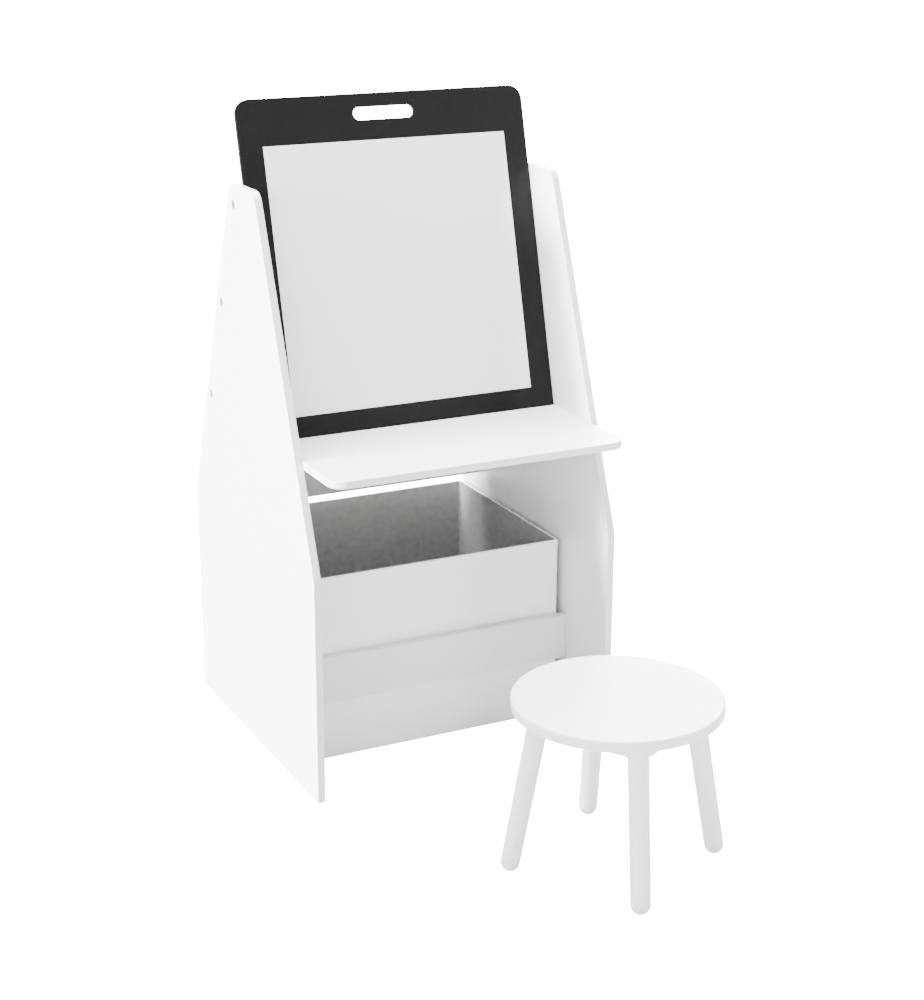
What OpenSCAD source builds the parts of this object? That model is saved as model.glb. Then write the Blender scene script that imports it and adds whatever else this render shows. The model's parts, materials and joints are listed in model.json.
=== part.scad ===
// Kids easel with a leaning board, a desk shelf, a slide-out storage bin and a stool.
// Millimetres. +Z is up, -Y is the front and +X is the right as seen from the front.
// The origin is on the floor, midway between the side panels and midway along them.

/* [Frame] */
// Width over the outer faces of the two side panels
easel_w = 500; // [460:1:560]
// Depth of a side panel at the floor
panel_depth = 500; // [480:1:540]
// Height of a side panel
panel_h = 880; // [870:1:900]
// Height where both edges of a side panel start to lean in
knee_h = 350; // [320:1:380]
// Rounding of the edges where they start to lean in
knee_r = 40; // [10:1:80]
// Depth of a side panel at its top
panel_top_depth = 98; // [90:1:120]
// Rounding of a side panel's two top corners
panel_corner_r = 22; // [10:1:30]
// Thickness of the frame's flat boards
sheet_t = 12; // [12:0.5:14]

/* [Desk, rail and stretcher] */
// Height of the desk's top surface
desk_h = 513; // [505:1:525]
// Distance from the middle of the easel to the desk's front edge
desk_reach = 300; // [280:1:330]
// Rounding of the desk's two front corners
desk_corner_r = 25; // [10:1:40]
// Height of the stretcher under the back of the desk
stretcher_h = 160; // [140:1:165]
// Front face of the stretcher, behind the middle of the easel
stretcher_y = 144; // [140:1:150]
// Height of the rail in front of the bin
rail_h = 75; // [60:1:90]
// Height of the rail's lower edge above the floor
rail_lift = 100; // [80:1:120]
// Distance from the middle of the easel to the rail's front face
rail_reach = 126.5; // [125:0.5:140]

/* [Board] */
// Lean of the drawing board back from upright, in degrees
board_lean = 14.66; // [12:0.01:16]
// Distance in front of the middle where the board's front face meets the desk
board_foot = 73; // [70:0.5:76]
// Height of the board along its own face, above the desk
board_h = 502; // [480:1:520]
// Thickness of the board
board_t = 6; // [6:0.5:8]
// Rounding of the board's two top corners
board_corner_r = 22; // [10:1:30]
// Width of the writing surfaces
sheet_w = 400; // [360:1:420]
// Height of the writing surfaces
sheet_h = 401; // [360:1:405]
// Height of the writing surfaces' lower edge above the board's foot
sheet_lift = 31; // [20:1:40]
// Length of the handle slot from end to end
slot_w = 101; // [90:1:120]
// Height of the handle slot
slot_h = 20; // [18:1:24]
// Height of the middle of the handle slot above the board's foot
slot_lift = 472; // [465:1:475]

/* [Cross rods] */
// Diameter of the round cross rods
rod_d = 25; // [20:1:28]
// Height of the top rod, which the board leans on
rod_top_z = 850; // [840:1:855]
// Height step from one rod to the next
rod_pitch = 160; // [150:1:160]
// Distance from a rod's centre in to the panel's back edge
rod_inset = 20.5; // [18:0.5:30]

/* [Bin] */
// Outside width of the bin
bin_w = 454; // [430:1:460]
// Outside depth of the bin
bin_depth = 347; // [300:1:350]
// Height of the bin
bin_h = 300; // [250:1:310]
// Distance from the middle of the easel to the bin's front face
bin_reach = 113; // [100:1:113]

/* [Stool] */
// Sideways place of the stool's centre
stool_x = 54; // [-60:1:60]
// Distance that the stool's centre stands in front of the easel's middle
stool_out = 593; // [560:1:700]
// Height of the stool's seat
stool_h = 252; // [240:1:280]
// Radius of the seat
seat_r = 147; // [140:1:160]
// Thickness of the seat
seat_t = 16.5; // [15:0.5:22]
// Side of the square plate under the seat
plate_w = 196; // [190:1:200]
// Thickness of the square plate
plate_t = 18; // [18:0.5:22]
// Turn of the stool about its own upright axis, in degrees
stool_turn = -16.1; // [-45:0.1:45]
// Radius of a leg at the plate
leg_top_r = 14.5; // [13:0.1:16]
// Radius of a leg at its ball end
leg_foot_r = 13.7; // [12:0.1:14]
// Distance from the stool's axis to a leg's axis, at the underside of the seat
leg_top_out = 108; // [100:1:110]
// Distance from the stool's axis to the middle of a leg's ball end
leg_foot_out = 147; // [140:1:155]

/* [Hidden] */
$fn = 64;

// Colours
white_lacquer = "#f4f4f2";
black_lacquer = "#2b2b2c";
slate_black = "#232526";
white_gloss = "#eef0f1";
white_fabric = "#ececea";
grey_card = "#a9a49b";
bare_wood = "#d9bd91";
zinc = "#c3c6c9";
brass_yellow = "#c9a94f";

// Smallest overlap that lets one cut run past the face it starts from
eps = 0.01;
// How far a through cut runs past a face
past = 1;
// Largest turn between two points of a rounded corner, in degrees
fillet_step = 9;
// Clear width between the side panels
inner_w = easel_w - 2 * sheet_t;

// Desk, stretcher and rail, from the values above
desk_mid_z = desk_h - sheet_t / 2;
stretcher_top = desk_h - sheet_t;
stretcher_mid_y = stretcher_y + sheet_t / 2;
rail_mid_y = -rail_reach + sheet_t / 2;
desk_back_y = stretcher_y + sheet_t;

// The board stands in a shallow groove in the desk
groove_depth = 5;
groove_gap = 0.5;
board_sink = 3.5;
board_side_gap = 1;
surface_t = 0.8;
board_w = inner_w - 2 * board_side_gap;

// Cross rods: the top one touches the back of the board, the others follow the panels' back edge
rod_board_gap = 0.3;
edge_lean = (panel_depth - panel_top_depth) / 2 / (panel_h - knee_h);
function back_edge_y(z) = panel_depth / 2 - edge_lean * (z - knee_h);
function board_back_y(z) =
    -board_foot + ((z - desk_h) * sin(board_lean) + board_t) / cos(board_lean);
top_rod_y = board_back_y(rod_top_z) + (rod_board_gap + rod_d / 2) / cos(board_lean);
middle_rod_z = rod_top_z - rod_pitch;
lower_rod_z = rod_top_z - 2 * rod_pitch;
rod_places = [
    [top_rod_y, rod_top_z],
    [back_edge_y(middle_rod_z) - rod_inset, middle_rod_z],
    [back_edge_y(lower_rod_z) - rod_inset, lower_rod_z]
];

// Bolts and threaded inserts in the rods' ends
bolt_r = 3;
bolt_hole_r = 3.3;
bolt_head_r = 6.75;
bolt_head_h = 2.4;
bolt_recess_r = 7;
bolt_recess_h = 2.5;
bolt_grip = 30;
hex_key = 4;
hex_depth = 1.6;
insert_r = 5;
insert_l = 18;
rod_bore_l = 36;

// Cam fittings: a bolt in the panel, and a round lock in the board that it holds
cam_bolt_r = 3;
cam_bolt_in = 8;
cam_collar_r = 3.4;
cam_collar_l = 4;
cam_neck_r = 2.2;
cam_head_r = 3.2;
cam_head_l = 3;
cam_bore_r = 3.6;
cam_r = 6;
cam_h = 10;
cam_set_in = 24;
cam_slot_w = 7.4;
cam_cross_w = 1.4;
cam_cross_l = 8;
cam_cross_depth = 2;

// Wooden dowels that line the boards up
dowel_r = 3;
dowel_in_panel = 8;
dowel_in_board = 20;

// Places of the fittings, as [y, z] on a panel's inner face
desk_cams = [for (y = [-140, 90]) [y, desk_mid_z]];
desk_dowels = [for (y = [-100, 50]) [y, desk_mid_z]];
stretcher_cams = [for (z = [40, stretcher_h - 40]) [stretcher_mid_y, stretcher_top - z]];
stretcher_dowels = [[stretcher_mid_y, stretcher_top - stretcher_h / 2]];
rail_cams = [[rail_mid_y, rail_lift + rail_h / 2]];
rail_dowels = [for (z = [15, rail_h - 15]) [rail_mid_y, rail_lift + z]];
all_cams = concat(desk_cams, stretcher_cams, rail_cams);
all_dowels = concat(desk_dowels, stretcher_dowels, rail_dowels);

// Bin: a folded cover over stiff boards, with a lining inside
cover_t = 1;
wall_board_t = 2.4;
lining_t = 0.8;
base_board_t = 3;
bin_wall = cover_t + wall_board_t + lining_t;
wall_board_gap = 0.5;
hem_h = 10;
hem_t = 1.2;

// Stool, in its own frame with +X through one leg
plate_corner_r = 25;
seat_edge_r = 3.5;
seat_low_z = stool_h - seat_t;
plate_low_z = seat_low_z - plate_t;
leg_lean = atan((leg_foot_out - leg_top_out) / (seat_low_z - leg_foot_r));
leg_axis_l = (seat_low_z - leg_foot_r) / cos(leg_lean);
leg_plate_l = (plate_low_z - leg_foot_r) / cos(leg_lean);
hanger_r = 4;
hanger_in_leg = 30;
hanger_in_plate = 12;
nut_r = 6;
nut_l = 11;
nut_start = 1.2;
screw_r = 2;
screw_head_r = 4;
screw_head_h = 2.4;
screw_into_seat = 10;
screw_out = 62;
leg_turns = [-90, 0, 90, 180];

// ---------- outlines ----------

function unit(v) = v / norm(v);
function bearing(v) = atan2(v[1], v[0]);
function wrap(a) = a > 180 ? a - 360 : a < -180 ? a + 360 : a;

// The points that round the corner b, between its neighbours a and c
function fillet(a, b, c, r) =
    let (
        to_a = unit(a - b),
        to_c = unit(c - b),
        half = acos(to_a * to_c) / 2,
        mid = b + unit(to_a + to_c) * r / sin(half),
        start = bearing(b + to_a * r / tan(half) - mid),
        sweep = wrap(bearing(b + to_c * r / tan(half) - mid) - start),
        steps = ceil(abs(sweep) / fillet_step)
    )
    [for (i = [0 : steps]) mid + r * [cos(start + sweep * i / steps), sin(start + sweep * i / steps)]];

// An outline whose corners are given as [x, y, radius]
function rounded(corners) =
    let (n = len(corners), at = [for (c = corners) [c[0], c[1]]])
    [for (i = [0 : n - 1]) each
        corners[i][2] > 0
        ? fillet(at[(i + n - 1) % n], at[i], at[(i + 1) % n], corners[i][2])
        : [at[i]]];

// ---------- placing ----------

// Repeats its children on the left and on the right
module both_sides() {
    for (side = [0, 1]) mirror([side, 0, 0]) children();
}

// Puts a drawing in the plane of the side panels, y across and z up, grown along +X
module upright(t) {
    rotate([90, 0, 90]) linear_extrude(t) children();
}

// A round bar along +X that starts at x, at the place [y, z]
module bar_x(x, place, r, l) {
    translate([x, place[0], place[1]]) rotate([0, 90, 0]) cylinder(r = r, h = l);
}

// The board's own frame: X across, Z up its front face, Y back through its thickness
module on_board() {
    translate([0, -board_foot, desk_h]) rotate([-board_lean, 0, 0]) children();
}

// The stool's own frame
module on_stool() {
    translate([stool_x, -stool_out, 0]) rotate([0, 0, stool_turn]) children();
}

// A leg's own frame: the origin in the ball end, +Z up the leg
module on_leg(turn) {
    on_stool() rotate([0, 0, turn]) translate([leg_foot_out, 0, leg_foot_r])
        rotate([0, -leg_lean, 0]) children();
}

// ---------- frame ----------

// The right side panel; the left one is its mirror image
module side_panel() {
    foot = panel_depth / 2;
    top = panel_top_depth / 2;
    outline = rounded([
        [-foot, 0, 0], [foot, 0, 0], [foot, knee_h, knee_r],
        [top, panel_h, panel_corner_r], [-top, panel_h, panel_corner_r], [-foot, knee_h, knee_r]
    ]);
    difference() {
        translate([inner_w / 2, 0, 0]) upright(sheet_t) polygon(outline);
        for (place = rod_places) {
            bar_x(inner_w / 2 - past, place, bolt_hole_r, sheet_t + 2 * past);
            bar_x(easel_w / 2 - bolt_recess_h, place, bolt_recess_r, bolt_recess_h + past);
        }
        for (place = all_cams) bar_x(inner_w / 2 - past, place, cam_bolt_r, cam_bolt_in + past);
        for (place = all_dowels) bar_x(inner_w / 2 - past, place, dowel_r, dowel_in_panel + past);
    }
}

module right_side_panel() {
    color(white_lacquer) side_panel();
}

module left_side_panel() {
    color(white_lacquer) mirror([1, 0, 0]) side_panel();
}

// Bores for the cam bolts and the dowels in the ends of a board
module end_bores(cams, dowels) {
    both_sides() {
        for (place = cams) bar_x(inner_w / 2 - cam_set_in, place, cam_bore_r, cam_set_in + past);
        for (place = dowels) bar_x(inner_w / 2 - dowel_in_board, place, dowel_r, dowel_in_board + past);
    }
}

// One cam lock's place: its flat face is at the origin, its body runs along +Z
module at_cam(place, faces_down) {
    inward = inner_w / 2 - cam_set_in;
    if (faces_down) translate([inward, place[0], desk_h - sheet_t]) children();
    else translate([inward, place[0] + sheet_t / 2, place[1]]) rotate([90, 0, 0]) children();
}

module cam_pockets(cams, faces_down) {
    both_sides() for (place = cams) at_cam(place, faces_down)
        translate([0, 0, -past]) cylinder(r = cam_r, h = cam_h + past);
}

module desk_top() {
    side = inner_w / 2;
    outline = rounded([
        [-side, -desk_reach, desk_corner_r], [side, -desk_reach, desk_corner_r],
        [side, desk_back_y, 0], [-side, desk_back_y, 0]
    ]);
    groove_front = -board_foot - groove_depth * tan(board_lean) - groove_gap;
    groove_back = board_back_y(desk_h) + groove_gap;
    color(white_lacquer) difference() {
        translate([0, 0, desk_h - sheet_t]) linear_extrude(sheet_t) polygon(outline);
        translate([-side - past, groove_front, desk_h - groove_depth])
            cube([inner_w + 2 * past, groove_back - groove_front, groove_depth + past]);
        end_bores(desk_cams, desk_dowels);
        cam_pockets(desk_cams, true);
    }
}

module rear_stretcher() {
    color(white_lacquer) difference() {
        translate([-inner_w / 2, stretcher_y, stretcher_top - stretcher_h])
            cube([inner_w, sheet_t, stretcher_h]);
        end_bores(stretcher_cams, stretcher_dowels);
        cam_pockets(stretcher_cams, false);
    }
}

module front_rail() {
    color(white_lacquer) difference() {
        translate([-inner_w / 2, -rail_reach, rail_lift]) cube([inner_w, sheet_t, rail_h]);
        end_bores(rail_cams, rail_dowels);
        cam_pockets(rail_cams, false);
    }
}

// A round rod between the panels, bored at both ends for its inserts and bolts
module cross_rod(place) {
    color(white_lacquer) difference() {
        bar_x(-inner_w / 2, place, rod_d / 2, inner_w);
        both_sides() {
            bar_x(inner_w / 2 - insert_l, place, insert_r, insert_l + past);
            bar_x(inner_w / 2 - rod_bore_l, place, bolt_hole_r, rod_bore_l + past);
        }
    }
}

module top_cross_rod() { cross_rod(rod_places[0]); }

module middle_cross_rod() { cross_rod(rod_places[1]); }

module lower_cross_rod() { cross_rod(rod_places[2]); }

// Flat-headed bolts with a hexagon socket, one through a panel into each end of each rod
module rod_end_bolts() {
    head_x = easel_w / 2 - bolt_recess_h;
    color(zinc) both_sides() for (place = rod_places) difference() {
        union() {
            bar_x(inner_w / 2 - bolt_grip, place, bolt_r, head_x + eps - inner_w / 2 + bolt_grip);
            bar_x(head_x, place, bolt_head_r, bolt_head_h);
        }
        translate([head_x + bolt_head_h - hex_depth, place[0], place[1]]) rotate([0, 90, 0])
            cylinder(d = hex_key / cos(30), h = hex_depth + past, $fn = 6);
    }
}

module rod_thread_inserts() {
    color(brass_yellow) both_sides() for (place = rod_places) difference() {
        bar_x(inner_w / 2 - insert_l, place, insert_r, insert_l);
        bar_x(inner_w / 2 - insert_l - past, place, bolt_r, insert_l + 2 * past);
    }
}

// Bolts screwed into the panels; each has a collar, a neck and a head that its cam lock grips
module cam_bolts() {
    tip = inner_w / 2 - cam_set_in - cam_head_l / 2;
    color(zinc) both_sides() for (place = all_cams) {
        bar_x(tip, place, cam_head_r, cam_head_l);
        bar_x(tip, place, cam_neck_r, inner_w / 2 - tip);
        bar_x(inner_w / 2 - cam_collar_l, place, cam_collar_r, cam_collar_l);
        bar_x(inner_w / 2 - eps, place, cam_bolt_r, cam_bolt_in + eps);
    }
}

// A round lock with a slot for the bolt's head and a cross for a screwdriver
module cam_lock(bolt_depth) {
    difference() {
        cylinder(r = cam_r, h = cam_h);
        translate([-cam_head_l, -cam_slot_w / 2, bolt_depth - cam_slot_w / 2])
            cube([cam_r + cam_head_l + past, cam_slot_w, cam_slot_w]);
        for (turn = [0, 90]) rotate([0, 0, turn])
            translate([-cam_cross_l / 2, -cam_cross_w / 2, -past])
                cube([cam_cross_l, cam_cross_w, cam_cross_depth + past]);
    }
}

module cam_locks() {
    color(zinc) both_sides() {
        for (place = desk_cams) at_cam(place, true) cam_lock(sheet_t / 2);
        for (place = concat(stretcher_cams, rail_cams)) at_cam(place, false) cam_lock(sheet_t / 2);
    }
}

module alignment_dowels() {
    color(bare_wood) both_sides() for (place = all_dowels)
        bar_x(inner_w / 2 - dowel_in_board, place, dowel_r, dowel_in_board + dowel_in_panel);
}

// ---------- board ----------

// A flat panel in the board's frame, from a drawing with X across and Y up the board
module board_sheet(y, t) {
    translate([0, y + t, 0]) rotate([90, 0, 0]) linear_extrude(t) children();
}

module writing_area() {
    translate([-sheet_w / 2, sheet_lift]) square([sheet_w, sheet_h]);
}

module handle_slot() {
    straight = slot_w - slot_h;
    translate([-straight / 2, slot_lift - slot_h / 2]) square([straight, slot_h]);
    for (x = [-straight / 2, straight / 2]) translate([x, slot_lift]) circle(d = slot_h);
}

// The board's black panel, with a shallow recess on each face for a writing surface
module board_panel() {
    side = board_w / 2;
    outline = rounded([
        [-side, -board_sink, 0], [side, -board_sink, 0],
        [side, board_h, board_corner_r], [-side, board_h, board_corner_r]
    ]);
    color(black_lacquer) on_board() difference() {
        board_sheet(0, board_t) polygon(outline);
        board_sheet(-past, board_t + 2 * past) handle_slot();
        board_sheet(-past, surface_t + past) writing_area();
        board_sheet(board_t - surface_t, surface_t + past) writing_area();
    }
}

module whiteboard_sheet() {
    color(white_gloss) on_board() board_sheet(0, surface_t) writing_area();
}

module chalkboard_sheet() {
    color(slate_black) on_board() board_sheet(board_t - surface_t, surface_t) writing_area();
}

// ---------- bin ----------

// A block that follows the bin's outside, moved in by inset, from height low to height high
module bin_block(inset, low, high) {
    translate([-bin_w / 2 + inset, -bin_reach + inset, low])
        cube([bin_w - 2 * inset, bin_depth - 2 * inset, high - low]);
}

// The outer cover: a floor, four walls and a thicker hem that folds over the stiff boards
module bin_cover() {
    color(white_fabric) difference() {
        union() {
            bin_block(0, 0, bin_h);
            bin_block(-hem_t, bin_h - hem_h, bin_h);
        }
        bin_block(cover_t, cover_t, bin_h - cover_t);
        bin_block(bin_wall, bin_h - cover_t - past, bin_h + past);
    }
}

// Four stiff boards inside the walls; the front and back ones run the full width
module bin_wall_boards() {
    low = cover_t;
    h = bin_h - 2 * cover_t;
    long = bin_w - 2 * cover_t;
    short = bin_depth - 2 * (cover_t + wall_board_t + wall_board_gap);
    near = -bin_reach + cover_t;
    far = -bin_reach + bin_depth - cover_t - wall_board_t;
    color(grey_card) {
        for (y = [near, far]) translate([-long / 2, y, low]) cube([long, wall_board_t, h]);
        for (x = [-long / 2, long / 2 - wall_board_t])
            translate([x, near + wall_board_t + wall_board_gap, low]) cube([wall_board_t, short, h]);
    }
}

module bin_base_board() {
    color(grey_card) bin_block(cover_t + wall_board_t, cover_t, cover_t + base_board_t);
}

module bin_lining() {
    floor_z = cover_t + base_board_t;
    color(white_fabric) difference() {
        bin_block(cover_t + wall_board_t, floor_z, bin_h - cover_t);
        bin_block(bin_wall, floor_z + lining_t, bin_h + past);
    }
}

// ---------- stool ----------

// A disc with rounded edges
module stool_seat() {
    r = seat_edge_r;
    profile = concat(
        [[0, 0], [seat_r - r, 0]],
        [for (a = [-80 : 10 : 0]) [seat_r - r + r * cos(a), r + r * sin(a)]],
        [for (a = [0 : 10 : 80]) [seat_r - r + r * cos(a), seat_t - r + r * sin(a)]],
        [[seat_r - r, seat_t], [0, seat_t]]
    );
    color(white_lacquer) on_stool() difference() {
        translate([0, 0, seat_low_z]) rotate_extrude($fn = 128) polygon(profile);
        screw_places() translate([0, 0, plate_t - eps]) cylinder(r = screw_r, h = screw_into_seat + eps);
    }
}

// The four places where a screw goes up through the plate, at the plate's underside
module screw_places() {
    for (turn = leg_turns) rotate([0, 0, turn + 45]) translate([screw_out, 0, plate_low_z]) children();
}

// A rounded square plate whose corners carry the legs
module stool_under_plate() {
    half = plate_w / 2;
    outline = rounded([for (c = [[-1, -1], [1, -1], [1, 1], [-1, 1]])
        [c[0] * half, c[1] * half, plate_corner_r]]);
    color(white_lacquer) difference() {
        on_stool() translate([0, 0, plate_low_z]) rotate([0, 0, 45]) linear_extrude(plate_t)
            polygon(outline);
        for (turn = leg_turns) on_leg(turn) translate([0, 0, leg_plate_l]) {
            translate([0, 0, nut_start]) cylinder(r = nut_r, h = nut_l + eps);
            translate([0, 0, -hanger_r]) cylinder(r = hanger_r, h = hanger_r + hanger_in_plate + nut_start);
        }
        on_stool() screw_places() {
            translate([0, 0, -past]) cylinder(r = screw_head_r, h = screw_head_h + past);
            cylinder(r = screw_r, h = plate_t + past);
        }
    }
}

// A round leg with a ball end, cut level where it meets the plate
module stool_leg(turn) {
    color(white_lacquer) difference() {
        on_leg(turn) {
            sphere(r = leg_foot_r);
            cylinder(r1 = leg_foot_r, r2 = leg_top_r, h = leg_axis_l);
        }
        translate([stool_x, -stool_out, plate_low_z])
            cylinder(r = seat_r, h = stool_h);
        on_leg(turn) translate([0, 0, leg_plate_l - hanger_in_leg])
            cylinder(r = hanger_r, h = hanger_in_leg + hanger_r);
    }
}

module stool_leg_front() { stool_leg(leg_turns[0]); }

module stool_leg_right() { stool_leg(leg_turns[1]); }

module stool_leg_back() { stool_leg(leg_turns[2]); }

module stool_leg_left() { stool_leg(leg_turns[3]); }

// Double-ended bolts from the legs into the plate
module stool_leg_bolts() {
    color(zinc) for (turn = leg_turns) on_leg(turn) translate([0, 0, leg_plate_l - hanger_in_leg])
        cylinder(r = hanger_r, h = hanger_in_leg + hanger_in_plate);
}

// Threaded nuts set into the plate
module stool_insert_nuts() {
    color(brass_yellow) for (turn = leg_turns) on_leg(turn)
        translate([0, 0, leg_plate_l + nut_start]) difference() {
            cylinder(r = nut_r, h = nut_l);
            translate([0, 0, -past]) cylinder(r = hanger_r, h = nut_l + 2 * past);
        }
}

// Screws that hold the seat down on the plate
module stool_seat_screws() {
    color(zinc) on_stool() screw_places() {
        cylinder(r = screw_head_r, h = screw_head_h);
        cylinder(r = screw_r, h = plate_t + screw_into_seat);
    }
}

left_side_panel();
right_side_panel();
desk_top();
rear_stretcher();
front_rail();
top_cross_rod();
middle_cross_rod();
lower_cross_rod();
rod_end_bolts();
rod_thread_inserts();
cam_bolts();
cam_locks();
alignment_dowels();
board_panel();
whiteboard_sheet();
chalkboard_sheet();
bin_cover();
bin_wall_boards();
bin_base_board();
bin_lining();
stool_seat();
stool_under_plate();
stool_leg_front();
stool_leg_right();
stool_leg_back();
stool_leg_left();
stool_leg_bolts();
stool_insert_nuts();
stool_seat_screws();
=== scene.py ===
"""Visual model of a kids easel: frame, drawing board, storage bin and stool.

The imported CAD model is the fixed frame. Each sub-assembly is a class that holds its sizes in metres,
builds its meshes with bmesh operators and dresses them with procedural finishes. Nothing here moves or
resizes a CAD node: a node keeps its own mesh, or a more detailed piece in the same place replaces it.
"""

from __future__ import annotations

import json
import logging
import math
from collections.abc import Iterable, Sequence
from dataclasses import dataclass, field
from enum import Enum
from typing import Any

import bmesh
import bpy
from bmesh.types import BMEdge, BMesh, BMVert
from bpy.types import Material, Node, NodeSocket, NodeTree, Object
from mathutils import Matrix, Vector, noise

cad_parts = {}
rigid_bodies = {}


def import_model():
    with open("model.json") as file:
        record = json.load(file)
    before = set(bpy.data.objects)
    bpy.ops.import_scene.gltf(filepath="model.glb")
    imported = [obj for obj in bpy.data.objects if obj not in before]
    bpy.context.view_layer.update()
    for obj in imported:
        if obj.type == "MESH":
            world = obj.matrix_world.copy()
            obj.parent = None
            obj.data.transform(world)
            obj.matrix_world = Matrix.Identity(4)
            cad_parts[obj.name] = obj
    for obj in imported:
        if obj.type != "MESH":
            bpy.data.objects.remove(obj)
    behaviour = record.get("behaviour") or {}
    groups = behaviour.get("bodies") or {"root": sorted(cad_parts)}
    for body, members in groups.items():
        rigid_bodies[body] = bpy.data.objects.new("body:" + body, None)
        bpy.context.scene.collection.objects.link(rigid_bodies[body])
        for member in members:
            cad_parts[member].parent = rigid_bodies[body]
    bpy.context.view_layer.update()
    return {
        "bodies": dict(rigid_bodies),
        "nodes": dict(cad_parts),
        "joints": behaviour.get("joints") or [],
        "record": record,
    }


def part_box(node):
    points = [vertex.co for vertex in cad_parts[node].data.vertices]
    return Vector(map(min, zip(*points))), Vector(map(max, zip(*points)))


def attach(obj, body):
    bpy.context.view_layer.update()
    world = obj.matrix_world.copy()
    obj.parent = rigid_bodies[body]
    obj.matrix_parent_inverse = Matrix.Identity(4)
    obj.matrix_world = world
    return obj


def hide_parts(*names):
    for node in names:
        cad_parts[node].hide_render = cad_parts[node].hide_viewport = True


log = logging.getLogger("kids_easel")

MM = 0.001
RIM = "rim"
RIM_ANGLE = 60.0
EASED_ANGLE = 50.0
Triple = tuple[float, float, float]


class Body(str, Enum):
    """The rigid bodies that the pieces ride on."""

    FRAME = "easel_frame"
    BOARD = "drawing_board"
    BIN = "storage_bin"
    STOOL = "stool"


class Slot(str, Enum):
    """The record's material slots."""

    WHITE_LACQUER = "white_lacquer"
    PAINTED_ROD = "painted_rod"
    STOOL_LACQUER = "stool_lacquer"
    BLACK_LACQUER = "black_lacquer"
    WHITEBOARD_FACE = "whiteboard_face"
    CHALKBOARD_FACE = "chalkboard_face"
    BIN_FABRIC = "bin_fabric"
    BIN_LINING = "bin_lining_fabric"
    GREY_CARD = "grey_card"
    BARE_BEECH = "bare_beech"
    ZINC_STEEL = "zinc_steel"
    ZINC_CAST = "zinc_die_cast"
    BRASS = "brass_insert"


# Shader graphs


class Graph:
    """Adds nodes to one node tree and links them."""

    def __init__(self, tree: NodeTree) -> None:
        """Starts with an empty tree.

        Args:
            tree: The node tree to fill.
        """
        self.tree = tree
        tree.nodes.clear()

    def add(self, kind: str, inputs: dict[Any, Any] | None = None, **settings: Any) -> Node:
        """Adds a node.

        Args:
            kind: The node's type, such as ShaderNodeTexNoise.
            inputs: A value or a source socket for each named or numbered input.
            settings: The node's own properties.

        Returns:
            The new node.
        """
        node = self.tree.nodes.new(kind)
        for name, value in settings.items():
            setattr(node, name, value)
        for name, value in (inputs or {}).items():
            self.feed(node.inputs[name], value)
        return node

    def feed(self, socket: NodeSocket, value: Any) -> None:
        """Links a source socket to an input, or sets the input's own value.

        Args:
            socket: The input.
            value: A source socket, a number or a colour.
        """
        if isinstance(value, NodeSocket):
            self.tree.links.new(value, socket)
        else:
            socket.default_value = value

    def math(self, operation: str, first: Any, second: Any = 0.0) -> NodeSocket:
        """Adds a Math node and returns its result."""
        return self.add("ShaderNodeMath", {0: first, 1: second}, operation=operation).outputs[0]

    def mix(self, share: Any, first: Any, second: Any) -> NodeSocket:
        """Blends two colours by the second one's share."""
        return self.add("ShaderNodeMix", {0: share, 6: first, 7: second}, data_type="RGBA").outputs[2]

    def spread(self, value: Any, low: float, high: float, start: float = 0, end: float = 1) -> NodeSocket:
        """Maps a value from the range low to high onto the range start to end, and clamps it."""
        limits = {"From Min": low, "From Max": high, "To Min": start, "To Max": end}
        return self.add("ShaderNodeMapRange", {"Value": value, **limits}).outputs["Result"]

    def noise(self, vector: Any, scale: Any, detail: float = 2.0, roughness: float = 0.5) -> NodeSocket:
        """Adds a noise texture with a number of features per metre; its value is mostly 0.3 to 0.7."""
        inputs = {"Vector": vector, "Scale": scale, "Detail": detail, "Roughness": roughness}
        return self.add("ShaderNodeTexNoise", inputs).outputs[0]

    def turned(self, vector: Any, rotation: Triple, scale: Triple = (1.0, 1.0, 1.0)) -> NodeSocket:
        """Turns and scales a vector."""
        inputs = {"Vector": vector, "Rotation": rotation, "Scale": scale}
        return self.add("ShaderNodeMapping", inputs).outputs[0]


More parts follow.
